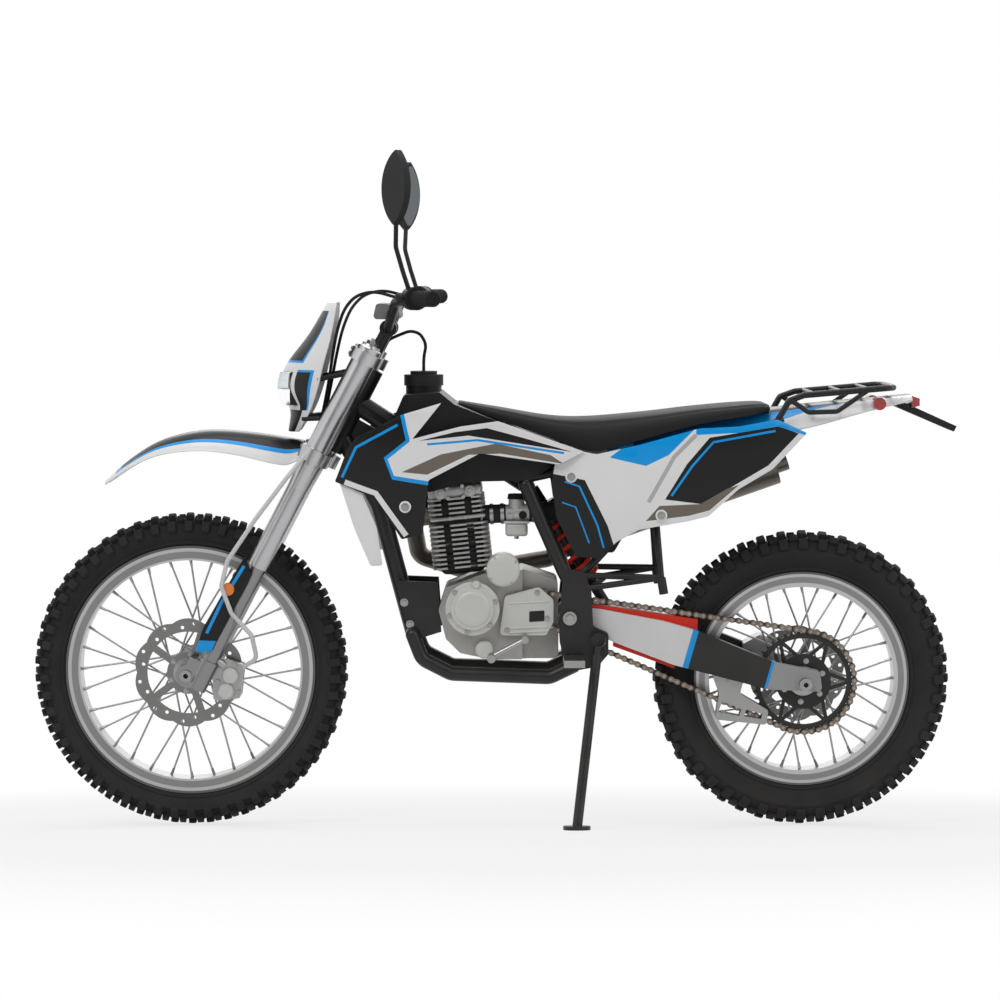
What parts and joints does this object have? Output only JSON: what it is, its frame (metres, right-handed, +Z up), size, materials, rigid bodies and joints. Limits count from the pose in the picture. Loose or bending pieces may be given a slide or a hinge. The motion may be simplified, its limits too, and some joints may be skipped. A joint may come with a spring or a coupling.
{
  "type": "enduro motorcycle",
  "caption": "Trail enduro motorcycle with wire wheels, long-travel fork, finned engine and white and blue plastics, leaning on its side stand.",
  "frame": {"origin": "centre of the overall box on the ground", "axes": "+X to the rear, +Y to the rider's right, +Z up; the bike leans to its left"},
  "size_m": [2.0696, 0.8118, 1.5373],
  "materials": {
    "tyre_rubber": "matte",
    "wheel_alloy": "satin",
    "disc_steel": "brushed",
    "sprocket_black": "satin",
    "fork_alloy": "satin",
    "fork_lower_alloy": "satin",
    "axle_steel": "brushed",
    "panel_white": "gloss",
    "tail_blue": "gloss",
    "bar_black": "satin",
    "grip_rubber": "matte",
    "control_black": "satin",
    "pad_foam": "matte",
    "lamp_glass": "gloss",
    "caliper_alloy": "satin",
    "hose_white": "satin",
    "frame_black": "satin",
    "arm_alloy": "satin",
    "slider_red": "satin",
    "chain_steel": "satin",
    "shock_steel": "satin",
    "engine_alloy": "cast",
    "exhaust_steel": "satin",
    "seat_cover": "matte",
    "lamp_red": "gloss",
    "lever_steel": "satin"
  },
  "bodies": {
    "frame": {"frame_spine": "frame_black", "frame_cradle": "frame_black", "pivot_plates": "frame_black", "subframe": "frame_black", "swingarm": "arm_alloy", "rear_axle": "axle_steel", "chain_slider": "slider_red", "chain_guide": "arm_alloy", "rear_shock": "shock_steel", "rear_caliper": "caliper_alloy", "crankcase": "engine_alloy", "engine_covers": "engine_alloy", "cylinder": "engine_alloy", "carburettor": "engine_alloy", "airbox": "control_black", "exhaust": "exhaust_steel", "fuel_tank": "control_black", "tank_cap": "control_black", "vent_hose": "grip_rubber", "shrouds": "panel_white", "seat": "seat_cover", "side_panels": "panel_white", "rear_fender": "tail_blue", "rear_rack": "frame_black", "tail_lamp": "lamp_red", "plate_holder": "control_black", "footpegs": "arm_alloy", "gear_lever": "lever_steel", "brake_pedal": "lever_steel", "passenger_pegs": "arm_alloy", "stand_lug": "frame_black", "drive_chain": "chain_steel"},
    "steering": {"triple_clamps": "fork_alloy", "fork_tubes": "fork_alloy", "fork_lowers": "fork_lower_alloy", "front_axle": "axle_steel", "fork_guards": "panel_white", "front_fender": "panel_white", "handlebar": "bar_black", "grips": "grip_rubber", "bar_controls": "control_black", "bar_cables": "grip_rubber", "headlight_mask": "panel_white", "headlamp": "lamp_glass", "bar_pad": "pad_foam", "front_caliper": "caliper_alloy", "brake_hose": "hose_white"},
    "front_wheel": {"front_tyre": "tyre_rubber", "front_rim": "wheel_alloy", "front_disc": "disc_steel"},
    "rear_wheel": {"rear_tyre": "tyre_rubber", "rear_rim": "wheel_alloy", "rear_disc": "disc_steel", "rear_sprocket": "sprocket_black"},
    "side_stand": {"side_stand": "frame_black"}
  },
  "joints": [
    {"name": "steering_turn", "type": "hinge", "parent": "frame", "child": "steering", "pos_m": [-0.36518, 0.04732, 0.84381], "axis": [0.4617, -0.1234, 0.8784], "range_deg": [-42, 42]},
    {"name": "front_wheel_spin", "type": "hinge", "parent": "steering", "child": "front_wheel", "pos_m": [-0.68087, 0.11635, 0.35264], "axis": [0, 0.9903, 0.1392], "continuous": true},
    {"name": "rear_wheel_spin", "type": "hinge", "parent": "frame", "child": "rear_wheel", "pos_m": [0.69459, 0.11913, 0.33284], "axis": [0, 0.9903, 0.1392], "continuous": true},
    {"name": "side_stand_fold", "type": "hinge", "parent": "frame", "child": "side_stand", "pos_m": [0.23383, -0.02564, 0.41448], "axis": [-0.1314, -0.9829, 0.1292], "range_deg": [0, 116.45]}
  ]
}
